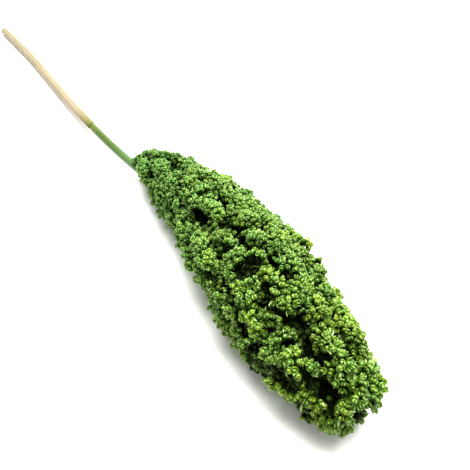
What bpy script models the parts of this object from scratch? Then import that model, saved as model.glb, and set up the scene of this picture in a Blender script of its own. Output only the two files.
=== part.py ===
"""A cut stem of sorghum lying on its side: seed head, stem, and the dry leaf sheath round the stem.

Metres. +X runs from the cut end of the stem to the tip of the head, +Z is up, and the surface that
the stem lies on is z = 0. The origin is under the middle of the whole length.
"""

import math
import random

import bmesh
import bpy
import numpy as np
from mathutils import Vector

# Driving sizes of the whole
TOTAL_LENGTH = 0.770
HEAD_LENGTH = 0.340
TIP_X = TOTAL_LENGTH / 2
BASE_X = TIP_X - HEAD_LENGTH
CUT_X = -TOTAL_LENGTH / 2
GAP = 0.0003

# The head from base to tip: distance, half width, lean of its middle to +Y, height of its middle
HEAD_OUTLINE = (
    (0.000, 0.0130, -0.0055, 0.0190),
    (0.022, 0.0225, 0.0025, 0.0220),
    (0.050, 0.0280, 0.0060, 0.0250),
    (0.085, 0.0335, 0.0060, 0.0285),
    (0.125, 0.0375, 0.0100, 0.0340),
    (0.200, 0.0435, 0.0055, 0.0390),
    (0.232, 0.0435, 0.0025, 0.0390),
    (0.300, 0.0345, 0.0000, 0.0320),
    (0.325, 0.0250, -0.0030, 0.0290),
    (0.340, 0.0160, -0.0030, 0.0280),
)
HEIGHT_RATIO = 0.94

# Fingers: the short side branches, thick with spikelets, that cover the head
FINGER_RADIUS = 0.0095
FINGER_LENGTH = 0.045
FULL_AT = 0.55
ROOT_SHARE = 0.55
TIP_SHARE = 0.50
BALLS = 13
ROOT_SINK = 0.010
TIP_LIFT = 0.0020
TIP_END = 0.010

# Rows of fingers from the base on, and how far one finger differs from the next
FIRST_ROW = 0.008
ROW_PITCH = 0.0235
ROWS = 13
FEWEST_IN_ROW = 4
FINGER_SPACING = 0.0185
TURN_JITTER = 0.18
RADIUS_JITTER = 0.12
LENGTH_JITTER = 0.14
START_JITTER = 0.005
LIFTS = (-0.0045, 0.0015)
SEED = 7

# Inner fingers that close the blunt tip
INNER_FINGERS = 6
INNER_START = 0.285
INNER_SHARE = 0.42
INNER_RADIUS = 0.85 * FINGER_RADIUS
INNER_ENDS = (0.006, 0.012)

# Skin: a net of triangles over the fingers, with a knob of spikelets at about every third corner
NET_PITCH = 0.0040
KNOB_HEIGHT = 0.0020
VALLEY_DEPTH = 0.0006
UNEVEN = 0.12
CORE_SHARE = 0.68
BASE_FAN_AT = 0.014
TIP_FAN_AT = 0.308
BASE_FAN_ROWS = 4
TIP_FAN_ROWS = 13

# Stem, from its cut end to where it ends in the head: place along +X, lean to +Y, height
STEM_LINE = (
    (CUT_X, -0.0470, 0.0057),
    (-0.268, -0.0360, 0.0078),
    (-0.120, -0.0290, 0.0104),
    (-0.020, -0.0215, 0.0124),
    (0.055, -0.0120, 0.0150),
    (0.068, -0.0090, 0.0165),
)
STEM_END_X = STEM_LINE[-1][0]
STEM_RADIUS = 0.0043
NECK_RADIUS = 0.0046
STEM_SIDES = 16
STEM_RINGS = 30

# The bore for the stem starts this far outside the head
SOCKET_LEAD = 0.030
SOCKET_RINGS = 4

# Leaf sheath, one margin lapped over the other, with a slanted mouth
SHEATH_CUT_X = CUT_X + 0.0015
SHEATH_MOUTH_X = -0.052
SHEATH_SLANT = 0.006
SLANT_ONSET = 8
SHEATH_WALL = 0.0005
SHEATH_LAP = 0.0005
SHEATH_SIDES = 24
SHEATH_RINGS = 24

# Block below z = 0 that flattens the fingers that the head lies on
BLOCK_LENGTH = HEAD_LENGTH + 0.1
BLOCK_WIDTH = 0.2
BLOCK_HEIGHT = 0.1

# Colours of the fresh spikelets, the green stem and the straw sheath
SPIKELET_GREEN = (0.13, 0.29, 0.05)
STEM_GREEN = (0.20, 0.36, 0.09)
STRAW = (0.75, 0.66, 0.42)
SHARP_ANGLE = math.radians(60)


def smooth_between(stations, at, column):
    """Value of a column of the stations at a place, on a smooth curve through all of them."""
    last = len(stations) - 1
    at = min(max(at, stations[0][0]), stations[last][0])
    k = 0
    while k < last - 1 and at > stations[k + 1][0]:
        k += 1
    before = stations[max(k - 1, 0)]
    here = stations[k]
    there = stations[k + 1]
    after = stations[min(k + 2, last)]
    span = there[0] - here[0]
    u = (at - here[0]) / span
    slope_here = (there[column] - before[column]) / (there[0] - before[0]) * span
    slope_there = (after[column] - here[column]) / (after[0] - here[0]) * span
    return (
        (2 * u**3 - 3 * u**2 + 1) * here[column]
        + (u**3 - 2 * u**2 + u) * slope_here
        + (3 * u**2 - 2 * u**3) * there[column]
        + (u**3 - u**2) * slope_there
    )


def half_width(distance):
    return smooth_between(HEAD_OUTLINE, distance, 1)


def head_middle(distance):
    """Middle of the head at a distance from its base."""
    lean = smooth_between(HEAD_OUTLINE, distance, 2)
    height = smooth_between(HEAD_OUTLINE, distance, 3)
    return np.array((BASE_X + distance, lean, height))


def finger_places():
    """(start, length, radius, angle round the head, lift) of every finger, row by row from the base."""
    draw = random.Random(SEED)
    places = []
    for row in range(ROWS):
        row_start = FIRST_ROW + row * ROW_PITCH
        girth = 2 * math.pi * (half_width(row_start + 0.6 * FINGER_LENGTH) - FINGER_RADIUS)
        count = max(FEWEST_IN_ROW, round(girth / FINGER_SPACING))
        turn = draw.uniform(0, 1)
        for k in range(count):
            angle = 2 * math.pi * (k + turn + draw.uniform(-TURN_JITTER, TURN_JITTER)) / count
            radius = FINGER_RADIUS * draw.uniform(1 - RADIUS_JITTER, 1 + RADIUS_JITTER)
            lift = draw.uniform(*LIFTS)
            start = row_start + draw.uniform(-START_JITTER, START_JITTER)
            length = FINGER_LENGTH * draw.uniform(1 - LENGTH_JITTER, 1 + LENGTH_JITTER)
            length = min(length, HEAD_LENGTH - TIP_END - start)
            places.append((max(start, FIRST_ROW), length, radius, angle, lift))
    inset = (INNER_SHARE - 1) * half_width(INNER_START)
    for k in range(INNER_FINGERS):
        angle = 2 * math.pi * (k + draw.uniform(-TURN_JITTER, TURN_JITTER)) / INNER_FINGERS
        length = HEAD_LENGTH - INNER_START - draw.uniform(*INNER_ENDS)
        places.append((INNER_START, length, INNER_RADIUS, angle, inset))
    return places


def finger_radius(u, radius):
    """Radius at a share u of a finger's length: slim at the root, full past the middle, round at the tip."""
    swell = ROOT_SHARE + (1 - ROOT_SHARE) * math.sin(math.pi / 2 * min(u / FULL_AT, 1.0))
    rounding = max(0.0, (u - FULL_AT) / (1 - FULL_AT)) ** 2.2
    return radius * swell * math.sqrt(1 - (1 - TIP_SHARE**2) * rounding)


def finger_balls():
    """Centres and radii of the balls that fill every finger, from its root to its tip."""
    centres = []
    radii = []
    for start, length, radius, angle, lift in finger_places():
        around = np.array((0, math.cos(angle), HEIGHT_RATIO * math.sin(angle)))
        for ball in range(BALLS):
            u = ball / (BALLS - 1)
            distance = start + u * length
            size = finger_radius(u, radius)
            stand = lift + TIP_LIFT * u - ROOT_SINK * (1 - u) ** 2
            reach = max(half_width(distance) - size + stand, 0.001)
            centres.append(head_middle(distance) + around * reach)
            radii.append(size)
    return np.array(centres), np.array(radii)


def ray_rows():
    """(distance, slant) of each ring of rays out of the head's middle, fanned out over both ends."""
    rows = []
    for k in range(1, BASE_FAN_ROWS + 1):
        rows.append((BASE_FAN_AT, -0.5 * math.pi * (1 - k / (BASE_FAN_ROWS + 1))))
    steps = round((TIP_FAN_AT - BASE_FAN_AT) / (NET_PITCH * math.sqrt(0.75)))
    for k in range(steps + 1):
        rows.append((BASE_FAN_AT + (TIP_FAN_AT - BASE_FAN_AT) * k / steps, 0.0))
    for k in range(1, TIP_FAN_ROWS + 1):
        rows.append((TIP_FAN_AT, 0.5 * math.pi * k / (TIP_FAN_ROWS + 1)))
    return rows


def skin_point(distance, direction, centres, radii):
    """Where a ray leaves the last ball or the core, and the way that this spot faces."""
    origin = head_middle(distance)
    to_centre = centres - origin
    along = to_centre @ direction
    inside = radii**2 - (to_centre**2).sum(axis=1) + along**2
    reach = np.where(inside > 0, along + np.sqrt(np.maximum(inside, 0)), 0)
    outer = int(reach.argmax())
    core = CORE_SHARE * half_width(distance)
    if reach[outer] < core:
        return origin + direction * core, direction
    point = origin + direction * reach[outer]
    return point, (point - centres[outer]) / radii[outer]


def zip_rings(bm, low, high):
    """Joins two rings of (angle, corner), which may differ in number, with a band of triangles."""
    i = 0
    j = 0
    while i < len(low) or j < len(high):
        here = low[i % len(low)][1]
        there = high[j % len(high)][1]
        next_low = low[(i + 1) % len(low)]
        next_high = high[(j + 1) % len(high)]
        low_angle = next_low[0] + 2 * math.pi * ((i + 1) // len(low))
        high_angle = next_high[0] + 2 * math.pi * ((j + 1) // len(high))
        if j == len(high) or (i < len(low) and low_angle < high_angle):
            bm.faces.new((here, next_low[1], there))
            i += 1
        else:
            bm.faces.new((here, next_high[1], there))
            j += 1


def raise_knobs(bm, facing):
    """Lifts corners that don't touch one already lifted, and sinks the rest a little."""
    lifted = set()
    for vert in bm.verts:
        if not any(edge.other_vert(vert) in lifted for edge in vert.link_edges):
            lifted.add(vert)
    for vert in bm.verts:
        step = KNOB_HEIGHT if vert in lifted else -VALLEY_DEPTH
        vert.co += Vector(facing[vert]) * step


def finished(bm, name):
    bmesh.ops.recalc_face_normals(bm, faces=bm.faces)
    mesh = bpy.data.meshes.new(name)
    bm.to_mesh(mesh)
    bm.free()
    return mesh


def head_mesh():
    """Closed skin over the fingers: rings of rays out of the middle, each joined to the next."""
    centres, radii = finger_balls()
    bm = bmesh.new()
    facing = {}
    rings = []
    draw = random.Random(SEED)
    for row, (distance, slant) in enumerate(ray_rows()):
        girth = 2 * math.pi * half_width(distance) * math.cos(slant)
        count = max(6, round(girth / NET_PITCH))
        ring = []
        for k in range(count):
            uneven = draw.uniform(-UNEVEN, UNEVEN)
            angle = 2 * math.pi * (k + 0.5 * (row % 2) + uneven) / count
            sideways = math.cos(slant) * math.cos(angle)
            upwards = math.cos(slant) * math.sin(angle) * HEIGHT_RATIO
            direction = np.array((math.sin(slant), sideways, upwards))
            direction /= np.linalg.norm(direction)
            along = distance + draw.uniform(-UNEVEN, UNEVEN) * NET_PITCH
            point, out = skin_point(along, direction, centres, radii)
            vert = bm.verts.new(point)
            facing[vert] = out
            ring.append((angle, vert))
        rings.append(ring)
    for low, high in zip(rings, rings[1:]):
        zip_rings(bm, low, high)
    for ring, distance, way in ((rings[0], BASE_FAN_AT, -1.0), (rings[-1], TIP_FAN_AT, 1.0)):
        point, out = skin_point(distance, np.array((way, 0.0, 0.0)), centres, radii)
        pole = bm.verts.new(point)
        facing[pole] = out
        for k in range(len(ring)):
            bm.faces.new((ring[k][1], ring[(k + 1) % len(ring)][1], pole))
    raise_knobs(bm, facing)
    return finished(bm, "seed head")


def stem_middle(x):
    return Vector((x, smooth_between(STEM_LINE, x, 1), smooth_between(STEM_LINE, x, 2)))


def stem_radius(x):
    """The stem thickens a little towards the head."""
    share = (x - CUT_X) / (STEM_END_X - CUT_X)
    return STEM_RADIUS + (NECK_RADIUS - STEM_RADIUS) * share**3


def ring_round(bm, x, radius_at, slant, sides):
    """Ring of corners round the stem's line at x, each further along +X by the slant at its angle."""
    ring = []
    for k in range(sides):
        angle = 2 * math.pi * k / sides
        middle = stem_middle(x + slant * math.sin(angle))
        out = Vector((0, math.cos(angle), math.sin(angle)))
        ring.append(bm.verts.new(middle + out * radius_at(middle.x, k / sides)))
    return ring


def bridge(bm, low, high):
    for k in range(len(low)):
        n = (k + 1) % len(low)
        bm.faces.new((low[k], low[n], high[n], high[k]))


def solid_rod(bm, start, clearance, steps):
    """Rod on the stem's line from a place to the stem's end, wider than the stem by the clearance."""
    rings = []
    for k in range(steps + 1):
        x = start + (STEM_END_X - start) * k / steps
        rings.append(ring_round(bm, x, lambda x, share: stem_radius(x) + clearance, 0.0, STEM_SIDES))
    for low, high in zip(rings, rings[1:]):
        bridge(bm, low, high)
    bm.faces.new(rings[0])
    bm.faces.new(rings[-1])
    return rings


def stem_mesh():
    bm = bmesh.new()
    solid_rod(bm, CUT_X, 0.0, STEM_RINGS)
    return finished(bm, "stem")


def sheath_mesh():
    """Tube round the stem whose wall steps up where one margin laps over the other."""
    bm = bmesh.new()

    def inner(x, share):
        return stem_radius(x) + GAP

    def outer(x, share):
        return stem_radius(x) + GAP + SHEATH_WALL + SHEATH_LAP * share

    insides = []
    outsides = []
    for k in range(SHEATH_RINGS + 1):
        share = k / SHEATH_RINGS
        x = SHEATH_CUT_X + (SHEATH_MOUTH_X - SHEATH_CUT_X) * share
        slant = SHEATH_SLANT * share**SLANT_ONSET
        insides.append(ring_round(bm, x, inner, slant, SHEATH_SIDES))
        outsides.append(ring_round(bm, x, outer, slant, SHEATH_SIDES))
    for k in range(SHEATH_RINGS):
        bridge(bm, outsides[k], outsides[k + 1])
        bridge(bm, insides[k + 1], insides[k])
    bridge(bm, insides[0], outsides[0])
    bridge(bm, outsides[-1], insides[-1])
    return finished(bm, "leaf sheath")


def socket_mesh():
    """Bore for the stem's end, a gap wider than the stem and open to the outside of the head."""
    bm = bmesh.new()
    rings = solid_rod(bm, BASE_X - SOCKET_LEAD, GAP, SOCKET_RINGS)
    for vert in rings[-1]:
        vert.co.x += GAP
    return finished(bm, "stem socket")


def block_mesh():
    bm = bmesh.new()
    bmesh.ops.create_cube(bm, size=1.0)
    bmesh.ops.scale(bm, vec=(BLOCK_LENGTH, BLOCK_WIDTH, BLOCK_HEIGHT), verts=bm.verts)
    middle = Vector((BASE_X + HEAD_LENGTH / 2, 0, -BLOCK_HEIGHT / 2))
    bmesh.ops.translate(bm, vec=middle, verts=bm.verts)
    return finished(bm, "surface below")


def plant_material(name, colour, roughness):
    material = bpy.data.materials.new(name)
    material.use_nodes = True
    shader = material.node_tree.nodes["Principled BSDF"]
    shader.inputs["Base Color"].default_value = (*colour, 1.0)
    shader.inputs["Roughness"].default_value = roughness
    shader.inputs["Metallic"].default_value = 0.0
    return material


def add_piece(name, mesh, material):
    piece = bpy.data.objects.new(name, mesh)
    bpy.context.scene.collection.objects.link(piece)
    mesh.materials.append(material)
    mesh.shade_smooth()
    mesh.set_sharp_from_angle(angle=SHARP_ANGLE)
    return piece


def cut_away(piece, mesh):
    """Boolean cut of a mesh from a piece."""
    cutter = bpy.data.objects.new(mesh.name, mesh)
    bpy.context.scene.collection.objects.link(cutter)
    cut = piece.modifiers.new(mesh.name, "BOOLEAN")
    cut.operation = "DIFFERENCE"
    cut.object = cutter
    with bpy.context.temp_override(object=piece):
        bpy.ops.object.modifier_apply(modifier=cut.name)
    bpy.data.objects.remove(cutter)


def drop_scraps(mesh):
    """Keeps the largest body of a mesh, without the crumbs that a cut leaves beside it."""
    bm = bmesh.new()
    bm.from_mesh(mesh)
    unseen = set(bm.verts)
    bodies = []
    while unseen:
        body = [unseen.pop()]
        for vert in body:
            for edge in vert.link_edges:
                other = edge.other_vert(vert)
                if other in unseen:
                    unseen.remove(other)
                    body.append(other)
        bodies.append(body)
    bodies.sort(key=len)
    for body in bodies[:-1]:
        bmesh.ops.delete(bm, geom=body, context="VERTS")
    bm.to_mesh(mesh)
    bm.free()


for leftover in list(bpy.data.objects):
    bpy.data.objects.remove(leftover)
head = add_piece("seed_head", head_mesh(), plant_material("spikelet green", SPIKELET_GREEN, 0.6))
cut_away(head, block_mesh())
cut_away(head, socket_mesh())
drop_scraps(head.data)
add_piece("stem", stem_mesh(), plant_material("stem green", STEM_GREEN, 0.5))
add_piece("leaf_sheath", sheath_mesh(), plant_material("dry sheath", STRAW, 0.7))
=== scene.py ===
"""Green sorghum seed head on its cut stem, lying on a pale surface.

Metres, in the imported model's frame: +X runs from the cut end of the stem to the tip of the head, +Z
is up and z = 0 is the surface. Every piece stands for a solid of the frame and stays in its place.
"""

import math
import random

import bmesh
import bpy
import numpy as np
from mathutils import Euler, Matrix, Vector, noise
from mathutils.bvhtree import BVHTree


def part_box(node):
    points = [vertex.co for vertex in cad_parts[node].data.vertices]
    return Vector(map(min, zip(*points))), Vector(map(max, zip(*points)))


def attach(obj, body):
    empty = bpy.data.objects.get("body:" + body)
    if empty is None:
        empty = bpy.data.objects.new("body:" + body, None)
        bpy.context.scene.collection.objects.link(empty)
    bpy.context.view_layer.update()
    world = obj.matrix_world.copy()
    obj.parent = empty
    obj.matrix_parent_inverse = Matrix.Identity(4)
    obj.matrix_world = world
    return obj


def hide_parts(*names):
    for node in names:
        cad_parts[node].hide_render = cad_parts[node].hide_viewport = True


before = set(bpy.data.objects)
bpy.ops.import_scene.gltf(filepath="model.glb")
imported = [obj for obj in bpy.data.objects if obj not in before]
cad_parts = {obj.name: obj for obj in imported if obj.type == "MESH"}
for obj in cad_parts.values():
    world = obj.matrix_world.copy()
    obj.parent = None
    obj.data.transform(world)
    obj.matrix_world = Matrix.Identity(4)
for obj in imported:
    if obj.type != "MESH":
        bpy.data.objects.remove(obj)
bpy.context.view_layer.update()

# Green stem. The bare stalk below the head, a little thicker than a pencil, firm and finely ribbed
# lengthwise. It was cut off at its far end, runs through the dry sheath and ends inside the head.
CUT_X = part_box("stem")[0].x
STEM_END_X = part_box("stem")[1].x
STEM_LINE = (
    (CUT_X, -0.0470, 0.0057),
    (-0.268, -0.0360, 0.0078),
    (-0.120, -0.0290, 0.0104),
    (-0.020, -0.0215, 0.0124),
    (0.055, -0.0120, 0.0150),
    (STEM_END_X, -0.0090, 0.0165),
)
STEM_RADIUS = 0.0043
NECK_RADIUS = 0.0046
STEM_RIBS = 18
RIB_SHARE = 0.022
STEM_STEPS = 90
STEM_LIGHT = (0.074, 0.124, 0.018)
STEM_DEEP = (0.050, 0.092, 0.010)
STEM_BLUISH = (0.076, 0.146, 0.044)
STEM_YELLOW = (0.120, 0.140, 0.032)
PITH_LIGHT = (0.480, 0.400, 0.240)
PITH_DEEP = (0.330, 0.265, 0.140)
BLUISH_FROM_X = -0.010
BLUISH_TO_X = 0.045
YELLOW_FROM_X = -0.020
YELLOW_TO_X = -0.055
VEINS_PER_METRE = 1800.0
VEIN_SCALE_ALONG = 9.0
BLOTCH_SCALE = 55.0
VEIN_SPAN = (0.36, 0.64)
BLOTCH_SPAN = (0.30, 0.70)
STEM_ROUGHNESS = 0.42
STEM_VEIN_HEIGHT = 0.0002
STEM_VEIN_STRENGTH = 0.35
PITH_SCALE = 2200.0
PITH_SPAN = (0.4, 0.6)
PITH_FULL_X = CUT_X + 0.0030
PITH_GONE_X = CUT_X + 0.0060


def smooth_between(stations, at, column):
    """Value of a column of the stations at a place, on a smooth curve through all of them."""
    last = len(stations) - 1
    at = min(max(at, stations[0][0]), stations[last][0])
    k = 0
    while k < last - 1 and at > stations[k + 1][0]:
        k += 1
    before = stations[max(k - 1, 0)]
    here = stations[k]
    there = stations[k + 1]
    after = stations[min(k + 2, last)]
    span = there[0] - here[0]
    u = (at - here[0]) / span
    slope_here = (there[column] - before[column]) / (there[0] - before[0]) * span
    slope_there = (after[column] - here[column]) / (after[0] - here[0]) * span
    return (
        (2 * u**3 - 3 * u**2 + 1) * here[column]
        + (u**3 - 2 * u**2 + u) * slope_here
        + (3 * u**2 - 2 * u**3) * there[column]
        + (u**3 - u**2) * slope_there
    )


def stem_middle(x):
    return Vector((x, smooth_between(STEM_LINE, x, 1), smooth_between(STEM_LINE, x, 2)))


def stem_radius(x):
    share = (x - CUT_X) / (STEM_END_X - CUT_X)
    return STEM_RADIUS + (NECK_RADIUS - STEM_RADIUS) * share**3


def plant_group(name, inputs, outputs):
    """Empty shader group with named sockets, and its input and output nodes."""
    group = bpy.data.node_groups.new(name, "ShaderNodeTree")
    for socket, kind, value in inputs:
        made = group.interface.new_socket(name=socket, in_out="INPUT", socket_type=kind)
        if value is not None:
            made.default_value = value
    for socket, kind in outputs:
        group.interface.new_socket(name=socket, in_out="OUTPUT", socket_type=kind)
    return group, group.nodes.new("NodeGroupInput"), group.nodes.new("NodeGroupOutput")


def add_node(tree, kind, links=None, **settings):
    """Node with its settings, and with sockets joined to others or given values by name or number."""
    node = tree.nodes.new(kind)
    for setting, value in settings.items():
        setattr(node, setting, value)
    for socket, source in (links or {}).items():
        if isinstance(source, bpy.types.NodeSocket):
            tree.links.new(source, node.inputs[socket])
        else:
            node.inputs[socket].default_value = source
    return node


def scale_between(tree, value, low, high):
    """Value brought to 0 at low and 1 at high, with soft ends."""
    node = add_node(tree, "ShaderNodeMapRange", {"Value": value}, interpolation_type="SMOOTHSTEP")
    node.inputs["From Min"].default_value = low
    node.inputs["From Max"].default_value = high
    return node.outputs["Result"]


def blend_colours(tree, share, low, high):
    """Colour between two, by a share from a socket. Each colour is a socket or a tuple."""
    node = add_node(tree, "ShaderNodeMix", {0: share}, data_type="RGBA")
    for socket, colour in ((6, low), (7, high)):
        if isinstance(colour, tuple):
            node.inputs[socket].default_value = (*colour, 1.0)
        else:
            tree.links.new(colour, node.inputs[socket])
    return node.outputs[2]


def plant_material(name, roughness):
    """Material with a Principled BSDF, returned with its tree and shader."""
    material = bpy.data.materials.new(name)
    material.use_nodes = True
    shader = material.node_tree.nodes["Principled BSDF"]
    shader.inputs["Roughness"].default_value = roughness
    return material, material.node_tree, shader


def veins_group():
    """Fine lines along X round a stalk or leaf: a mask of the lines, blotches, and a height."""
    group, given, result = plant_group(
        "lengthwise_veins",
        (
            ("Place", "NodeSocketVector", None),
            ("Lines per metre", "NodeSocketFloat", VEINS_PER_METRE),
        ),
        (
            ("Lines", "NodeSocketFloat"),
            ("Blotches", "NodeSocketFloat"),
            ("Height", "NodeSocketFloat"),
        ),
    )
    across = given.outputs["Lines per metre"]
    scales = add_node(group, "ShaderNodeCombineXYZ", {0: VEIN_SCALE_ALONG, 1: across, 2: across})
    stretched = add_node(
        group,
        "ShaderNodeVectorMath",
        {0: given.outputs["Place"], 1: scales.outputs[0]},
        operation="MULTIPLY",
    )
    lines = add_node(
        group, "ShaderNodeTexNoise", {"Vector": stretched.outputs[0], "Scale": 1.0, "Detail": 3.0}
    )
    blotches = add_node(
        group,
        "ShaderNodeTexNoise",
        {"Vector": given.outputs["Place"], "Scale": BLOTCH_SCALE, "Detail": 4.0},
    )
    sharper = scale_between(group, lines.outputs["Fac"], *VEIN_SPAN)
    patchy = scale_between(group, blotches.outputs["Fac"], *BLOTCH_SPAN)
    group.links.new(sharper, result.inputs["Lines"])
    group.links.new(patchy, result.inputs["Blotches"])
    group.links.new(sharper, result.inputs["Height"])
    return group


def veins_in(tree):
    """Place on a piece, and the node that draws its veins there."""
    place = add_node(tree, "ShaderNodeTexCoord").outputs["Object"]
    return place, add_node(tree, "ShaderNodeGroup", {"Place": place}, node_tree=VEINS)


def raise_veins(tree, shader, veins, strength, height):
    """Lets the veins stand up a little from the surface."""
    bump = add_node(tree, "ShaderNodeBump", {"Height": veins.outputs["Height"]})
    bump.inputs["Strength"].default_value = strength
    bump.inputs["Distance"].default_value = height
    tree.links.new(bump.outputs["Normal"], shader.inputs["Normal"])


def stem_material():
    material, tree, shader = plant_material("green stalk", STEM_ROUGHNESS)
    place, veins = veins_in(tree)
    along = add_node(tree, "ShaderNodeSeparateXYZ", {0: place}).outputs["X"]
    green = blend_colours(tree, veins.outputs["Lines"], STEM_DEEP, STEM_LIGHT)
    bluish = scale_between(tree, along, BLUISH_FROM_X, BLUISH_TO_X)
    green = blend_colours(tree, bluish, green, STEM_BLUISH)
    yellow = scale_between(tree, along, YELLOW_FROM_X, YELLOW_TO_X)
    green = blend_colours(tree, yellow, green, STEM_YELLOW)
    spongy = add_node(
        tree, "ShaderNodeTexNoise", {"Vector": place, "Scale": PITH_SCALE, "Detail": 2.0}
    )
    pores = scale_between(tree, spongy.outputs["Fac"], *PITH_SPAN)
    pith = blend_colours(tree, pores, PITH_LIGHT, PITH_DEEP)
    at_cut = scale_between(tree, along, PITH_GONE_X, PITH_FULL_X)
    green = blend_colours(tree, at_cut, green, pith)
    tree.links.new(green, shader.inputs["Base Color"])
    raise_veins(tree, shader, veins, STEM_VEIN_STRENGTH, STEM_VEIN_HEIGHT)
    return material


def finish_piece(piece, material, node):
    """Gives a modelled piece its material, and its place in the frame for the node it stands for."""
    piece.data.materials.clear()
    piece.data.materials.append(material)
    piece.data.shade_smooth()
    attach(piece, "root")
    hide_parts(node)


def stem_piece():
    """Disc at the cut end, its rim pinched into ribs, drawn out step by step along the stem's line."""
    bpy.ops.object.select_all(action="DESELECT")
    start = stem_middle(CUT_X)
    bpy.ops.mesh.primitive_circle_add(
        vertices=2 * STEM_RIBS,
        radius=STEM_RADIUS,
        fill_type="NGON",
        location=start,
        rotation=(0, math.pi / 2, 0),
    )
    stem = bpy.context.object
    stem.name = "green_stem"
    bpy.ops.object.transform_apply(location=True, rotation=True)
    for vert in stem.data.vertices:
        vert.select = vert.index % 2 == 0
    bpy.ops.object.mode_set(mode="EDIT")
    bpy.ops.mesh.select_mode(type="VERT")
    bpy.ops.transform.resize(value=(1, 1 - RIB_SHARE, 1 - RIB_SHARE), center_override=start)
    bpy.ops.mesh.select_all(action="SELECT")
    for step in range(STEM_STEPS):
        low_x = CUT_X + (STEM_END_X - CUT_X) * step / STEM_STEPS
        high_x = CUT_X + (STEM_END_X - CUT_X) * (step + 1) / STEM_STEPS
        high = stem_middle(high_x)
        grow = stem_radius(high_x) / stem_radius(low_x)
        rise = high - stem_middle(low_x)
        bpy.ops.mesh.extrude_region_move(TRANSFORM_OT_translate={"value": rise})
        bpy.ops.transform.resize(value=(1, grow, grow), center_override=high)
    bpy.ops.mesh.select_all(action="SELECT")
    bpy.ops.mesh.normals_make_consistent(inside=False)
    bpy.ops.object.mode_set(mode="OBJECT")
    return stem


VEINS = veins_group()
finish_piece(stem_piece(), stem_material(), "stem")

# Leaf sheath. The dry straw-coloured foot of the topmost leaf, wrapped round the lower stem with
# one margin lapped over the other. It is papery, veined lengthwise, and ends in a slanted mouth.
SHEATH_CUT_X = CUT_X + 0.0015
SHEATH_MOUTH_X = -0.052
SHEATH_SLANT = 0.006
SHEATH_WALL = 0.00045
SHEATH_GAP = 0.0003
SHEATH_LAP = 0.0005
SHEATH_TURNS = 1.16
SHEATH_ALONG = 150
SHEATH_AROUND = 56
SHEATH_WAVE = 0.00006
SHEATH_RIPPLE = 0.00005
WAVES_AROUND = 7
WAVES_ALONG = 31
RIPPLES_ALONG = 83
MOUTH_RAGGED = 0.0007
RAGGED_WAVES = 19
MOUTH_CLOSES = 0.97
SLANT_POWER = 8
RAGGED_POWER = 30
CLOSING_POWER = 10
LAP_ANGLE = math.radians(35)
STRAW_LIGHT = (0.350, 0.297, 0.200)
STRAW_DEEP = (0.262, 0.213, 0.128)
STRAW_GREY = (0.272, 0.236, 0.166)
SHEATH_GREEN = (0.205, 0.178, 0.078)
GREY_SHARE = 0.45
GREENER_FROM_X = SHEATH_MOUTH_X - 0.040
GREENER_TO_X = SHEATH_MOUTH_X - 0.006
GREENEST_FROM_X = SHEATH_MOUTH_X - 0.010
GREENEST_TO_X = SHEATH_MOUTH_X + 0.004
SHEATH_VEINS_PER_METRE = 1300.0
SHEATH_ROUGHNESS = 0.62
SHEATH_VEIN_HEIGHT = 0.0003
SHEATH_VEIN_STRENGTH = 0.5


def sheath_point(along, around):
    """Place on the inner face of the rolled leaf, by shares of its length and of its width.

    Towards its mouth the leaf slants, frays and closes on the stem.
    """
    edge = SHEATH_SLANT * math.sin(2 * math.pi * around * SHEATH_TURNS) * along**SLANT_POWER
    ragged = MOUTH_RAGGED * math.sin(RAGGED_WAVES * around) * along**RAGGED_POWER
    x = SHEATH_CUT_X + (SHEATH_MOUTH_X - SHEATH_CUT_X) * along + edge + ragged
    closed = 1 - MOUTH_CLOSES * along**CLOSING_POWER
    wave = SHEATH_WAVE * math.sin(WAVES_AROUND * around + WAVES_ALONG * along)
    wave += SHEATH_RIPPLE * math.sin(RIPPLES_ALONG * along)
    out = stem_radius(x) + (SHEATH_GAP + SHEATH_LAP * around + wave) * closed
    angle = LAP_ANGLE + 2 * math.pi * SHEATH_TURNS * around
    return stem_middle(x) + Vector((0, out * math.cos(angle), out * math.sin(angle)))


def sheath_piece():
    """Flat veined strip, rolled round the stem in code and then given its thickness."""
    bpy.ops.object.select_all(action="DESELECT")
    bpy.ops.mesh.primitive_grid_add(
        x_subdivisions=SHEATH_ALONG, y_subdivisions=SHEATH_AROUND, size=1
    )
    sheath = bpy.context.object
    sheath.name = "rolled_sheath"
    for vert in sheath.data.vertices:
        vert.co = sheath_point(vert.co.x + 0.5, vert.co.y + 0.5)
    bpy.ops.object.mode_set(mode="EDIT")
    bpy.ops.mesh.select_all(action="SELECT")
    bpy.ops.mesh.normals_make_consistent(inside=False)
    bpy.ops.object.mode_set(mode="OBJECT")
    wall = sheath.modifiers.new("wall", "SOLIDIFY")
    wall.thickness = SHEATH_WALL
    wall.offset = 1.0
    bpy.ops.object.modifier_apply(modifier=wall.name)
    return sheath


def sheath_material():
    material, tree, shader = plant_material("dry leaf", SHEATH_ROUGHNESS)
    place, veins = veins_in(tree)
    veins.inputs["Lines per metre"].default_value = SHEATH_VEINS_PER_METRE
    along = add_node(tree, "ShaderNodeSeparateXYZ", {0: place}).outputs["X"]
    straw = blend_colours(tree, veins.outputs["Lines"], STRAW_DEEP, STRAW_LIGHT)
    patches = add_node(
        tree, "ShaderNodeMath", {0: veins.outputs["Blotches"], 1: GREY_SHARE}, operation="MULTIPLY"
    )
    straw = blend_colours(tree, patches.outputs[0], straw, STRAW_GREY)
    greener = scale_between(tree, along, GREENER_FROM_X, GREENER_TO_X)
    straw = blend_colours(tree, greener, straw, SHEATH_GREEN)
    greenest = scale_between(tree, along, GREENEST_FROM_X, GREENEST_TO_X)
    straw = blend_colours(tree, greenest, straw, STEM_YELLOW)
    tree.links.new(straw, shader.inputs["Base Color"])
    raise_veins(tree, shader, veins, SHEATH_VEIN_STRENGTH, SHEATH_VEIN_HEIGHT)
    return material


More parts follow.
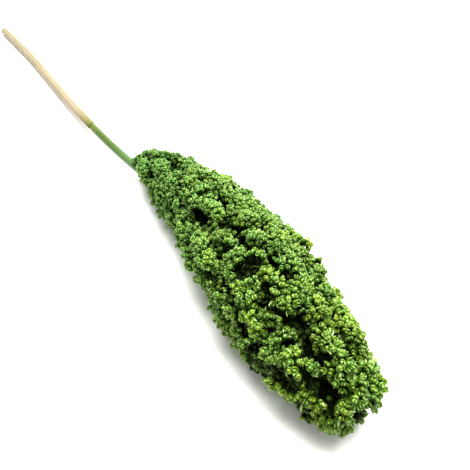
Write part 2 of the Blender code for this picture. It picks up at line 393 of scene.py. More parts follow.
finish_piece(sheath_piece(), sheath_material(), "leaf_sheath")

# Branches. Inside the head the stem goes on as a tapering rachis, modelled as a lumpy core, and short
# side branches leave it all round, turn towards the tip and carry the spikelets. They are thin and
# slightly ridged. Core and branches are painted near-black green: painted shade for the head's shaded
# inside, seen through the gaps between the knobs.
HEAD_LENGTH = 0.340
TIP_X = 0.385
BASE_X = TIP_X - HEAD_LENGTH
# Stations from base to tip: distance, half width, lean of the head's middle to +Y, its height
HEAD_OUTLINE = (
    (0.000, 0.0130, -0.0055, 0.0190),
    (0.022, 0.0225, 0.0025, 0.0220),
    (0.050, 0.0280, 0.0060, 0.0250),
    (0.085, 0.0335, 0.0060, 0.0285),
    (0.125, 0.0375, 0.0100, 0.0340),
    (0.200, 0.0435, 0.0055, 0.0390),
    (0.232, 0.0435, 0.0025, 0.0390),
    (0.300, 0.0345, 0.0000, 0.0320),
    (0.325, 0.0250, -0.0030, 0.0290),
    (0.340, 0.0160, -0.0030, 0.0280),
)
HEIGHT_RATIO = 0.94
FINGER_RADIUS = 0.0095
FINGER_LENGTH = 0.045
FULL_AT = 0.55
ROUNDING_POWER = 2.2
LEAST_REACH = 0.001
ROOT_SHARE = 0.55
TIP_SHARE = 0.50
ROOT_SINK = 0.010
TIP_LIFT = 0.0020
TIP_END = 0.010
FIRST_ROW = 0.008
ROW_PITCH = 0.0235
GIRTH_AT = 0.6
ROWS = 13
FEWEST_IN_ROW = 4
FINGER_SPACING = 0.0185
TURN_JITTER = 0.18
RADIUS_JITTER = 0.12
LENGTH_JITTER = 0.14
START_JITTER = 0.005
LIFTS = (-0.0045, 0.0015)
INNER_FINGERS = 6
INNER_START = 0.285
INNER_SHARE = 0.42
INNER_RADIUS = 0.85 * FINGER_RADIUS
INNER_ENDS = (0.006, 0.012)
LAYOUT_SEED = 7
BALLS = 13
CORE_SHARE = 0.50
CORE_LUMP = 0.05
LUMPS = ((5, 140), (9, -260))
CORE_SIDES = 20
CORE_STEPS = 56
CORE_END = 0.018
CORE_START = 0.3 * CORE_END
FOOT_SHARE = 0.3
FOOT_WIDENS = 0.06
POINT_SHARE = 0.25
POINT_NARROWS = 0.03
BRANCH_SIDES = 5
BRANCH_STEPS = 14
BRANCH_THICK = 0.0020
BRANCH_THIN = 0.0009
BRANCH_LEAD = 0.028
BRANCH_FIRST = 0.012
BRANCH_JOINS_AT = 0.45
BRANCH_REACH = 0.97
BRANCH_ROUGHNESS = 0.8
BRANCH_SHINE = 0.1
# Near-black greens: painted shade for the head's shaded inside
BRANCH_SHADE_GREEN = (0.012, 0.022, 0.005)
BRANCH_SHADE_DARK = (0.003, 0.005, 0.002)


def half_width(distance):
    return smooth_between(HEAD_OUTLINE, distance, 1)


def head_middle(distance):
    lean = smooth_between(HEAD_OUTLINE, distance, 2)
    height = smooth_between(HEAD_OUTLINE, distance, 3)
    return np.array((BASE_X + distance, lean, height))


def finger_places():
    """(start, length, radius, angle, lift) of every finger, row by row from the base."""
    draw = random.Random(LAYOUT_SEED)
    places = []
    for row in range(ROWS):
        row_start = FIRST_ROW + row * ROW_PITCH
        girth = 2 * math.pi * (half_width(row_start + GIRTH_AT * FINGER_LENGTH) - FINGER_RADIUS)
        count = max(FEWEST_IN_ROW, round(girth / FINGER_SPACING))
        turn = draw.uniform(0, 1)
        for k in range(count):
            angle = 2 * math.pi * (k + turn + draw.uniform(-TURN_JITTER, TURN_JITTER)) / count
            radius = FINGER_RADIUS * draw.uniform(1 - RADIUS_JITTER, 1 + RADIUS_JITTER)
            lift = draw.uniform(*LIFTS)
            start = row_start + draw.uniform(-START_JITTER, START_JITTER)
            length = FINGER_LENGTH * draw.uniform(1 - LENGTH_JITTER, 1 + LENGTH_JITTER)
            length = min(length, HEAD_LENGTH - TIP_END - start)
            places.append((max(start, FIRST_ROW), length, radius, angle, lift))
    inset = (INNER_SHARE - 1) * half_width(INNER_START)
    for k in range(INNER_FINGERS):
        angle = 2 * math.pi * (k + draw.uniform(-TURN_JITTER, TURN_JITTER)) / INNER_FINGERS
        length = HEAD_LENGTH - INNER_START - draw.uniform(*INNER_ENDS)
        places.append((INNER_START, length, INNER_RADIUS, angle, inset))
    return places


def finger_radius(u, radius):
    swell = ROOT_SHARE + (1 - ROOT_SHARE) * math.sin(math.pi / 2 * min(u / FULL_AT, 1.0))
    rounding = max(0.0, (u - FULL_AT) / (1 - FULL_AT)) ** ROUNDING_POWER
    return radius * swell * math.sqrt(1 - (1 - TIP_SHARE**2) * rounding)


def finger_axis(place, u):
    """Middle of a finger and its radius at a share u of its length."""
    start, length, radius, angle, lift = place
    around = np.array((0, math.cos(angle), HEIGHT_RATIO * math.sin(angle)))
    distance = start + u * length
    size = finger_radius(u, radius)
    stand = lift + TIP_LIFT * u - ROOT_SINK * (1 - u) ** 2
    reach = max(half_width(distance) - size + stand, LEAST_REACH)
    return head_middle(distance) + around * reach, size


def unit(vector):
    return vector / np.linalg.norm(vector)


def joined_mesh(name, verts, faces):
    mesh = bpy.data.meshes.new(name)
    mesh.from_pydata(verts, [], faces)
    mesh.update()
    piece = bpy.data.objects.new(name, mesh)
    bpy.context.scene.collection.objects.link(piece)
    return piece


def tapered_tube(verts, faces, line, radii, sides):
    """Adds a closed round tube along a line of points, with a radius at each."""
    first = len(verts)
    side = np.array((0.0, 0.0, 1.0))
    for k, point in enumerate(line):
        ahead = unit(line[min(k + 1, len(line) - 1)] - line[max(k - 1, 0)])
        side = unit(side - ahead * (side @ ahead))
        up = np.cross(ahead, side)
        for n in range(sides):
            turn = 2 * math.pi * n / sides
            verts.append(point + radii[k] * (math.cos(turn) * side + math.sin(turn) * up))
    for k in range(len(line) - 1):
        for n in range(sides):
            low = first + k * sides
            after = (n + 1) % sides
            faces.append((low + n, low + after, low + sides + after, low + sides + n))
    faces.append(tuple(first + n for n in reversed(range(sides))))
    faces.append(tuple(first + (len(line) - 1) * sides + n for n in range(sides)))


def core_piece():
    """Disc at the head's foot, drawn out and widened step by step along the head's curved middle."""
    places = []
    widths = []
    for k in range(CORE_STEPS + 1):
        place = CORE_START + (HEAD_LENGTH - CORE_END) * k / CORE_STEPS
        place = min(place, HEAD_LENGTH - CORE_END)
        foot = FOOT_SHARE + place / FOOT_WIDENS
        point = POINT_SHARE + (HEAD_LENGTH - CORE_END - place) / POINT_NARROWS
        places.append(place)
        widths.append(CORE_SHARE * half_width(place) * min(1.0, foot, point))
    bpy.ops.object.select_all(action="DESELECT")
    bpy.ops.mesh.primitive_circle_add(
        vertices=CORE_SIDES,
        radius=widths[0],
        fill_type="NGON",
        location=head_middle(places[0]),
        rotation=(0, math.pi / 2, 0),
    )
    core = bpy.context.object
    core.name = "shaded_inner_branches"
    bpy.ops.object.transform_apply(location=True, rotation=True)
    bpy.ops.object.mode_set(mode="EDIT")
    bpy.ops.mesh.select_all(action="SELECT")
    for k in range(CORE_STEPS - 2):
        low = head_middle(places[k])
        high = head_middle(places[k + 1])
        grow = widths[k + 1] / widths[k]
        bpy.ops.mesh.extrude_region_move(TRANSFORM_OT_translate={"value": Vector(high - low)})
        bpy.ops.transform.resize(value=(1, grow, grow), center_override=high)
    bpy.ops.mesh.select_all(action="SELECT")
    bpy.ops.mesh.normals_make_consistent(inside=False)
    bpy.ops.object.mode_set(mode="OBJECT")
    for vert in core.data.vertices:
        middle = Vector(head_middle(vert.co.x - BASE_X))
        ray = vert.co - middle
        turn = math.atan2(ray.z, ray.y)
        lump = sum(math.sin(around * turn + along * vert.co.x) for around, along in LUMPS)
        vert.co = middle + ray * (1 + CORE_LUMP * lump)
    return core


def branches_piece():
    """One branch for each finger, curving out from the core and thinning to the finger's tip."""
    verts = []
    faces = []
    for place in FINGERS:
        leave = head_middle(max(place[0] - BRANCH_LEAD, BRANCH_FIRST))
        line = []
        radii = []
        for k in range(BRANCH_STEPS + 1):
            u = k / BRANCH_STEPS
            join = min(u / BRANCH_JOINS_AT, 1.0)
            join = join * join * (3 - 2 * join)
            line.append(leave + (finger_axis(place, BRANCH_REACH * u)[0] - leave) * join)
            radii.append(BRANCH_THICK + (BRANCH_THIN - BRANCH_THICK) * u)
        tapered_tube(verts, faces, line, radii, BRANCH_SIDES)
    return joined_mesh("branches", verts, faces)


def blotchy_material(name, roughness, dark, light):
    """Dull green in blotches, for the branches and for the stalks of the knobs. The branches'
    near-black greens, and the stalks' darkest blotches, are painted shade.
    """
    material, tree, shader = plant_material(name, roughness)
    shader.inputs["Specular IOR Level"].default_value = BRANCH_SHINE
    veins = veins_in(tree)[1]
    green = blend_colours(tree, veins.outputs["Blotches"], dark, light)
    tree.links.new(green, shader.inputs["Base Color"])
    return material


FINGERS = finger_places()
# Core and branches share one near-black green, painted shade for the head's depths
inner_shade = blotchy_material("shaded branch", BRANCH_ROUGHNESS, BRANCH_SHADE_DARK, BRANCH_SHADE_GREEN)
finish_piece(core_piece(), inner_shade, "seed_head")
finish_piece(branches_piece(), inner_shade, "seed_head")

# Spikelets. The head's flowers-to-be: buds of two pairs of overlapping scales with pale thin rims,
# about 5 mm long. Six or seven sit tight on a short stalk, as one knob of a finger, and four or five
# in the knobs deep down. Each kind is modelled once and copied, with a turn, size and tone of its own.
SITE_TRIES = 44
SITE_CHUNKS = 20
AXIS_STEP = 0.04
SAME_POINT = 1e-6
KNOB_SPACING = 0.0096
SPACING_VARIES = (0.86, 1.12)
KNOB_LEAN = 0.35
KNOB_DEPTH = 0.0066
KNOB_UNEVEN = 0.0009
FILL_SPACING = 0.0062
FILL_SINK = 0.0045
# Filler knobs add this to their depth mark, which also darkens them as painted shade
FILL_DEPTH = 0.35
INNER_PITCH = 0.0075
INNER_FROM = 0.030
INNER_TO = 0.312
INNER_REACH = 0.45
INNER_TURN = 0.2
INNER_SHIFT = 0.002
MOST_BURIED = 0.0011
MOST_INWARD = -0.45
TIP_FACING = 0.5
DEEP = 0.016
UNDERSIDE = 0.0032
UNDER_PITCH = 0.003
UNDER_BURIED = 0.0005
UNDER_DEPTH = 0.3
LOWEST_ROOT = UNDERSIDE - 0.0006
GROUND_ORDER = 0.9
DEPTH_ORDER = 0.8
# Knobs in the valleys are raised in patches, up to a share of their depth
RAISE_FROM = 0.35
RAISE_SCALE = 45.0
RAISE_ABOVE = -0.35
RAISE_LEFT = 0.27
RAISE_VARIES = (0.6, 1.0)
# The buds of a knob: their size, how they spread and how they vary
BUDS_IN_KNOB = (6, 6, 7, 7)
BUDS_IN_DEEP_KNOB = (4, 5)
KNOB_SPREAD = math.radians(46)
SPREAD_VARIES = (0.85, 1.15)
MIDDLE_SPREAD = (0.0, 0.2)
BUD_TURN = 0.12
SIZE_VARIES = (0.86, 1.12)
LENGTH_VARIES = (0.94, 1.06)
SIDEWAYS = (0.31, 0.17, 0.93)
SURFACE_VARIES = 0.035
NEARLY_UPRIGHT = 0.9
SPIKELET_LENGTH = 0.0050
SPIKELET_HALF_WIDTH = 0.00232
SPIKELET_FLATNESS = 0.90
SPIKELET_SEAT = 0.0030
SPIKELET_SIDES = 8
TONE_AT_BASE = 0.16
TONE_AT_TIP = 0.85
PATCH_SHARE = 0.35
PATCH_SCALE = 26.0
KNOB_TONE_SPREAD = 0.11
BUD_TONE_SPREAD = 0.09
DEEP_FROM = 0.55
DEEP_SIDES = 5
# Buds that would leave the solid's box, at its sides, its tip or its foot, are left out
LOWEST = 0.0002
BOX_MARGIN = 0.0010
TIP_TRIM = 0.0015
FOOT_TRIM = 0.0042
# A clump that would stand out alone from the head's left side is left out too
STRAY_KNOB = (0.2190, 0.0400, 0.0630)
STRAY_RADIUS = 0.0060
# Knobs near the tip are moved, more and more towards its end, to follow the head's real outline
TIP_DRIFT = (-0.0010, 0.0045, 0.0020)
DRIFT_FROM_X = 0.330
DRIFT_TO_X = 0.372
PLACE_SEED = 11
# The photograph's frame, and the camera that sees the head as it does
PHOTO_SIZE = 470
CAMERA_PLACE = (0.438, -0.1296, 0.3247)
CAMERA_TURN = (math.radians(43.3), 0.0, math.radians(58.2))
CAMERA_LENS = 36.0
SENSOR_WIDTH = 36.0
# The main dark gaps between the fingers, read off the photograph: the pixels of both ends of each, and
# half its real width
GAPS = (
    ((198, 213), (204, 218), 0.0034),
    ((222, 226), (245, 229), 0.0018),
    ((226, 249), (232, 249), 0.0020),
    ((215, 277), (216, 281), 0.0018),
    ((241, 274), (254, 263), 0.0052),
    ((266, 286), (268, 297), 0.0024),
    ((245, 324), (246, 335), 0.0024),
    ((246, 360), (254, 348), 0.0045),
    ((256, 364), (280, 376), 0.0040),
    ((280, 377), (296, 388), 0.0036),
    ((283, 313), (292, 324), 0.0014),
    ((296, 324), (306, 342), 0.0034),
    ((285, 344), (292, 343), 0.0024),
    ((306, 354), (326, 359), 0.0028),
    ((306, 374), (312, 388), 0.0034),
    ((316, 386), (332, 395), 0.0054),
    ((334, 398), (330, 414), 0.0032),
    ((291, 404), (297, 404), 0.0028),
    ((305, 411), (311, 417), 0.0024),
)
# Buds in a gap are pushed down this far, and levelled by this share, and further in a wide gap. They
# are also given painted shade through a full depth mark.
GAP_MARGIN = 0.0009
GAP_DEPTH = 0.012
GAP_LEVELLING = 0.7
WIDE_GAP = 0.004
WIDE_GAP_DEEPER = 3.0
# Each ring of a bud: its height, radius and shift to one side, and how pale it is. Low paleness paints
# shade at the bud's foot. High paleness gives its pale rims, which are partly the scales' real margins
# and partly painted highlight. The last three values are how far its height, radius and paleness swing
# between the two scales and their notches.
BUD_RINGS = (
    (0.00, 0.36, 0.00, 0.00, 0.00, 0.00, 0.00),
    (0.40, 0.98, 0.00, 0.22, 0.00, 0.02, 0.04),
    (0.74, 0.90, 0.03, 0.70, 0.10, 0.08, 0.34),
    (0.68, 0.72, 0.00, 0.16, 0.03, 0.00, 0.10),
    (0.94, 0.52, -0.04, 0.66, -0.06, -0.08, -0.26),
    (1.00, 0.14, -0.08, 0.52, 0.00, 0.00, 0.00),
)
OPEN_RINGS = (
    (0.00, 0.34, 0.00, 0.00, 0.00, 0.00, 0.00),
    (0.42, 0.94, 0.00, 0.16, 0.04, 0.02, 0.02),
    (0.84, 0.84, 0.00, 0.60, 0.24, 0.10, 0.34),
    (0.74, 0.62, 0.00, 0.16, 0.12, 0.04, 0.10),
    (0.98, 0.40, 0.05, 0.50, -0.04, -0.06, -0.20),
    (1.14, 0.06, 0.12, 0.74, 0.00, 0.00, 0.00),
)
DEEP_RINGS = (
    (0.00, 0.40, 0.00, 0.05, 0.00, 0.00, 0.00),
    (0.44, 1.00, 0.00, 0.24, 0.00, 0.00, 0.00),
    (0.80, 0.80, 0.02, 0.60, 0.05, 0.00, 0.20),
    (1.00, 0.22, -0.06, 0.50, 0.00, 0.00, 0.00),
)
OPEN_FROM_X = 0.24
OPEN_TO_X = 0.36
OPEN_MOST = 0.75
OPEN_WIDTH = 0.90
SIZE_AT_BASE = 0.98
SIZE_AT_TIP = 1.16
# Slim empty spikelets among the buds: how many a knob has, their size, and more and larger at the tip
SLIVERS_AT_KNOB = (0, 1, 1, 2)
MORE_AT_TIP = 2.4
SLIVER_SEAT = 0.003
SLIVER_LENGTH = 0.0058
SLIVER_HALF_WIDTH = 0.00055
SLIVER_SPREAD = math.radians(50)
SLIVER_SPREAD_VARIES = (0.8, 1.2)
SLIVER_LENGTH_VARIES = (0.8, 1.15)
SLIVER_TONE = (0.5, 0.2)
SLIVER_LONGER = 0.2
SLIVER_WIDER = 0.9
SPIKELET_BODY = (0.078, 0.174, 0.016)
SPIKELET_YELLOW = (0.222, 0.305, 0.012)
SPIKELET_BLUISH = (0.042, 0.126, 0.022)
SPIKELET_RIM_AND_HIGHLIGHT = (0.475, 0.635, 0.260)
BLUISH_RIM_AND_HIGHLIGHT = (0.310, 0.520, 0.170)
SPIKELET_PAINTED_SHADE = (0.006, 0.012, 0.003)
MOTTLE_SCALE = 900.0
MOTTLE_SPAN = (0.35, 0.75)
GREEN_SPAN = (0.0, 0.5)
YELLOW_SPAN = (0.45, 1.05)
PAINTED_SHADE_SPAN = (0.04, 0.44)
RIM_AND_HIGHLIGHT_SPAN = (0.45, 1.0)
DEPTH_SHADE = 0.82
SPIKELET_ROUGHNESS = 0.42
SPIKELET_SHINE = 0.16
SHEEN = 0.12
SHEEN_ROUGHNESS = 0.40
SHEEN_TINT = (0.80, 0.95, 0.50, 1.0)
HEAD_PARTS = ("base", "lower", "middle", "upper", "tip")


def bud_shape(name, rings, sides):
    """Closed bud of length 1, its seat a disc and each ring drawn up from the one below it.

    Gives the bud and the paleness of each of its vertices.
    """
    bpy.ops.object.select_all(action="DESELECT")
    bpy.ops.mesh.primitive_circle_add(vertices=sides, radius=rings[0][1], fill_type="NGON")
    bud = bpy.context.object
    bud.name = name
    bpy.ops.object.mode_set(mode="EDIT")
    bpy.ops.mesh.select_all(action="SELECT")
    for low, high in zip(rings, rings[1:]):
        grow = high[1] / low[1]
        rise = (0, 0, high[0] - low[0])
        bpy.ops.mesh.extrude_region_move(TRANSFORM_OT_translate={"value": rise})
        bpy.ops.transform.resize(value=(grow, grow, 1), center_override=(0, 0, 0))
    bpy.ops.mesh.select_all(action="SELECT")
    bpy.ops.mesh.normals_make_consistent(inside=False)
    bpy.ops.object.mode_set(mode="OBJECT")
    pale = []
    for vert in bud.data.vertices:
        _, _, shift, paleness, rise, pinch, fade = rings[vert.index // sides]
        swing = math.cos(2 * math.atan2(vert.co.y, vert.co.x))
        vert.co.x = vert.co.x * (1 + pinch * swing) + shift
        vert.co.y *= 1 + pinch * swing
        vert.co.z += rise * swing
        pale.append(paleness + fade * swing)
    return bud, pale


def even_directions(count):
    """Directions spread evenly over a sphere."""
    step = np.arange(count) + 0.5
    height = 1 - 2 * step / count
    turn = math.pi * (1 + 5**0.5) * step
    flat = np.sqrt(1 - height**2)
    return np.stack((flat * np.cos(turn), flat * np.sin(turn), height), axis=1)


def knob_sites():
    """Possible places of knobs, over the fingers, the ground between them and the underside.

    A row of each result is a place: point, outward, ahead, middle of the branch, depth and order.
    """
    centres = []
    radii = []
    aheads = []
    for place in FINGERS:
        for ball in range(BALLS):
            u = ball / (BALLS - 1)
            centre, size = finger_axis(place, u)
            centres.append(centre)
            radii.append(size)
            ahead = finger_axis(place, u + AXIS_STEP)[0] - finger_axis(place, u - AXIS_STEP)[0]
            aheads.append(unit(ahead))
    centres = np.array(centres)
    radii = np.array(radii)
    aheads = np.array(aheads)
    spread = even_directions(SITE_TRIES)
    points = (centres[:, None] + radii[:, None, None] * spread[None]).reshape(-1, 3)
    outward = np.broadcast_to(spread, (len(centres), SITE_TRIES, 3)).reshape(-1, 3)
    owner = np.repeat(np.arange(len(centres)), SITE_TRIES)
    low, high = centres.min(axis=0), centres.max(axis=0)
    xs, ys = np.meshgrid(
        np.arange(low[0], high[0], UNDER_PITCH), np.arange(low[1], high[1], UNDER_PITCH)
    )
    under = np.stack((xs.ravel(), ys.ravel(), np.full(xs.size, UNDERSIDE)), axis=1)
    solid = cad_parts["seed_head"].data.copy()
    work = bmesh.new()
    work.from_mesh(solid)
    bmesh.ops.remove_doubles(work, verts=work.verts, dist=SAME_POINT)
    work.normal_update()
    ground = np.array([vert.co for vert in work.verts if vert.co.z > UNDERSIDE])
    ground_out = np.array([vert.normal for vert in work.verts if vert.co.z > UNDERSIDE])
    work.free()
    bpy.data.meshes.remove(solid)
    buried = []
    nearest = []
    for chunk in np.array_split(np.concatenate((points, under, ground)), SITE_CHUNKS):
        square = (chunk**2).sum(axis=1)[:, None] + (centres**2).sum(axis=1) - 2 * chunk @ centres.T
        inside = radii - np.sqrt(np.maximum(square, 0.0))
        buried.append(inside.max(axis=1))
        nearest.append(inside.argmax(axis=1))
    buried = np.concatenate(buried)
    nearest = np.concatenate(nearest)
    outer = len(points)
    keep = (buried[:outer] < MOST_BURIED) & (points[:, 2] > UNDERSIDE)
    grounded = outer + len(under)
    below = buried[outer:grounded] > UNDER_BURIED
    downward = np.tile((0.0, 0.0, -1.0), (below.sum(), 1))
    points = np.concatenate((points[keep], under[below], ground))
    outward = np.concatenate((outward[keep], downward, ground_out))
    owner = np.concatenate((owner[keep], nearest[outer:grounded][below], nearest[grounded:]))
    order = np.zeros(len(points))
    order[-len(ground) :] = GROUND_ORDER
    distances = np.clip(points[:, 0] - BASE_X, 0.0, HEAD_LENGTH)
    middles = np.array([head_middle(distance) for distance in distances])
    widths = np.array([half_width(distance) for distance in distances])
    away = (points - middles) * (0.0, 1.0, 1.0)
    reach = np.linalg.norm(away, axis=1)
    facing = (outward * away).sum(axis=1) / np.maximum(reach, SAME_POINT)
    depth = np.clip((widths - reach) / DEEP, 0.0, 1.0)
    # Knobs on the underside get a fixed depth mark, which darkens them as painted shade
    depth[points[:, 2] <= UNDERSIDE] = UNDER_DEPTH
    order = DEPTH_ORDER * depth + order
    keep = (facing > MOST_INWARD) | (outward[:, 0] > TIP_FACING)
    owner = owner[keep]
    return points[keep], outward[keep], aheads[owner], centres[owner], depth[keep], order[keep]


def knob_places():
    """(root, direction, branch, depth) of every knob: the outermost sites first, none too close."""
    points, outward, aheads, middles, depth, order = knob_sites()
    draw = np.random.default_rng(PLACE_SEED)
    order = np.argsort(order + draw.random(len(points)))
    taken = np.zeros((0, 3))
    knobs = []
    for spacing, sink, painted_shade in ((KNOB_SPACING, 0.0, 0.0), (FILL_SPACING, FILL_SINK, FILL_DEPTH)):
        for index in order:
            apart = spacing * draw.uniform(*SPACING_VARIES)
            if len(taken) and np.linalg.norm(taken - points[index], axis=1).min() < apart:
                continue
            taken = np.concatenate((taken, points[index][None]))
            direction = unit(outward[index] + KNOB_LEAN * aheads[index])
            root = points[index] - direction * (KNOB_DEPTH + sink + KNOB_UNEVEN * draw.normal())
            rises = sink == 0.0 and depth[index] > RAISE_FROM
            if rises and noise.noise(Vector(root) * RAISE_SCALE) > RAISE_ABOVE:
                raised = (depth[index] - RAISE_LEFT) * draw.uniform(*RAISE_VARIES)
                around = unit((root - head_middle(root[0] - BASE_X)) * (0.0, 1.0, 1.0))
                root = root + around * raised * DEEP
                direction = unit(direction + around)
                depth[index] -= raised
            root[2] = max(root[2], LOWEST_ROOT)
            knobs.append((root, direction, middles[index], min(depth[index] + painted_shade, 1.0)))
    for station in np.arange(INNER_FROM, INNER_TO, INNER_PITCH):
        reach = INNER_REACH * half_width(station)
        count = round(2 * math.pi * reach / INNER_PITCH)
        turn = draw.uniform(0, 1)
        for k in range(count):
            angle = 2 * math.pi * (k + turn + draw.uniform(-INNER_TURN, INNER_TURN)) / count
            around = np.array((0.0, math.cos(angle), HEIGHT_RATIO * math.sin(angle)))
            middle = head_middle(station + draw.uniform(-INNER_SHIFT, INNER_SHIFT))
            direction = unit(around + np.array((KNOB_LEAN, 0.0, 0.0)))
            # Inner knobs get the full depth mark, the darkest painted shade
            knobs.append((middle + reach * around, direction, middle, 1.0))
    drifted = []
    for root, direction, middle, depth in knobs:
        share = min(max((root[0] - DRIFT_FROM_X) / (DRIFT_TO_X - DRIFT_FROM_X), 0.0), 1.0)
        drifted.append((root + share * np.array(TIP_DRIFT), direction, middle, depth))
    return drifted


def seen_in_photo(points):
    """Pixel of the photograph at which each point shows, and how many pixels a metre there takes."""
    seen = (points - CAMERA_PLACE) @ np.array(Euler(CAMERA_TURN).to_matrix())
    scale = PHOTO_SIZE * CAMERA_LENS / SENSOR_WIDTH / -seen[:, 2]
    across = PHOTO_SIZE / 2 + seen[:, 0] * scale
    down = PHOTO_SIZE / 2 - seen[:, 1] * scale
    return np.stack((across, down), axis=1), scale


def sunk_in_gaps(rows):
    """Pushes the rows that stand in a gap down to its bottom, and leaves out those past the box.

    A row is a bud: its root, direction, roll, length, half width, tone and depth.
    """
    mouths = rows[:, 0:3] + rows[:, 3:6] * rows[:, 7:8] / 2
    pixels, scale = seen_in_photo(mouths)
    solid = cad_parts["seed_head"].data
    head = BVHTree.FromPolygons([v.co for v in solid.vertices], [f.vertices for f in solid.polygons])
    camera_place = Vector(CAMERA_PLACE)
    sunk = np.zeros(len(rows), bool)
    for start, end, gap_reach in GAPS:
        line = np.subtract(end, start)
        share = np.clip((pixels - start) @ line / (line @ line), 0.0, 1.0)
        off = np.linalg.norm(pixels - start - share[:, None] * line, axis=1) / scale
        bottom = GAP_DEPTH + WIDE_GAP_DEEPER * max(gap_reach - WIDE_GAP, 0.0)
        for index in np.flatnonzero((off < gap_reach + GAP_MARGIN) & ~sunk):
            sight = Vector(mouths[index]) - camera_place
            way = sight.normalized()
            surface = head.ray_cast(camera_place, way)[3]
            if surface is None or abs(sight.length - surface) > GAP_DEPTH:
                continue
            below = sight.length - surface
            rows[index, 0:3] += (bottom - GAP_LEVELLING * below) * np.array(way)
            # Full depth mark: buds in a gap are painted in the darkest painted shade
            rows[index, 10] = 1.0
            sunk[index] = True
    low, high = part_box("seed_head")
    tips = rows[:, 0:3] + rows[:, 3:6] * rows[:, 7:8]
    keep = (tips < np.array(high) + BOX_MARGIN).all(axis=1) & (tips[:, 1] > low[1] - BOX_MARGIN)
    keep &= (tips[:, 0] < high[0] - TIP_TRIM) & (tips[:, 0] > low[0] + FOOT_TRIM)
    keep &= np.linalg.norm(rows[:, 0:3] - STRAY_KNOB, axis=1) > STRAY_RADIUS
    return rows[keep]


def spikelet_places(knobs):
    """Rows for the buds, which end in whether a bud has opened, and for the slim empty spikelets."""
    draw = random.Random(PLACE_SEED + 1)
    spikelets = []
    slivers = []
    for root, direction, _, depth in knobs:
        count = draw.choice(BUDS_IN_KNOB if depth < DEEP_FROM else BUDS_IN_DEEP_KNOB)
        near_tip = min(max((root[0] - OPEN_FROM_X) / (OPEN_TO_X - OPEN_FROM_X), 0.0), 1.0)
        side = unit(np.cross(direction, SIDEWAYS))
        up = np.cross(direction, side)
        tone = TONE_AT_BASE + (TONE_AT_TIP - TONE_AT_BASE) * (root[0] - BASE_X) / HEAD_LENGTH
        tone += draw.gauss(0, KNOB_TONE_SPREAD)
        tone += PATCH_SHARE * noise.noise(Vector(root) * PATCH_SCALE)
        turn = draw.uniform(0, 2 * math.pi)
        for k in range(count):
            spread = KNOB_SPREAD * draw.uniform(*SPREAD_VARIES)
            if k == count - 1:
                spread = draw.uniform(*MIDDLE_SPREAD)
            angle = turn + 2 * math.pi * (k + draw.uniform(-BUD_TURN, BUD_TURN)) / (count - 1)
            out = math.cos(angle) * side + math.sin(angle) * up
            way = math.cos(spread) * direction + math.sin(spread) * out
            grown = SIZE_AT_BASE + (SIZE_AT_TIP - SIZE_AT_BASE) * near_tip
            size = draw.uniform(*SIZE_VARIES) * grown
            seat = root + way * SPIKELET_SEAT
            length = SPIKELET_LENGTH * size * draw.uniform(*LENGTH_VARIES)
            roll = draw.uniform(0, 2 * math.pi)
            opened = draw.random() < OPEN_MOST * near_tip
            width = SPIKELET_HALF_WIDTH * size * (OPEN_WIDTH if opened else 1.0)
            bud_tone = tone + draw.gauss(0, BUD_TONE_SPREAD)
            spikelets.append((*seat, *way, roll, length, width, bud_tone, depth, opened))
        count = draw.choice(SLIVERS_AT_KNOB) + round(MORE_AT_TIP * near_tip * draw.random())
        for _ in range(count):
            angle = draw.uniform(0, 2 * math.pi)
            out = math.cos(angle) * side + math.sin(angle) * up
            spread = SLIVER_SPREAD * draw.uniform(*SLIVER_SPREAD_VARIES)
            way = math.cos(spread) * direction + math.sin(spread) * out
            seat = root + way * SLIVER_SEAT
            length = SLIVER_LENGTH * draw.uniform(*SLIVER_LENGTH_VARIES)
            length *= 1 + SLIVER_LONGER * near_tip
            width = SLIVER_HALF_WIDTH * (1 + SLIVER_WIDER * near_tip)
            slivers.append((*seat, *way, 0.0, length, width, draw.gauss(*SLIVER_TONE), depth))
    return sunk_in_gaps(np.array(spikelets)), sunk_in_gaps(np.array(slivers))


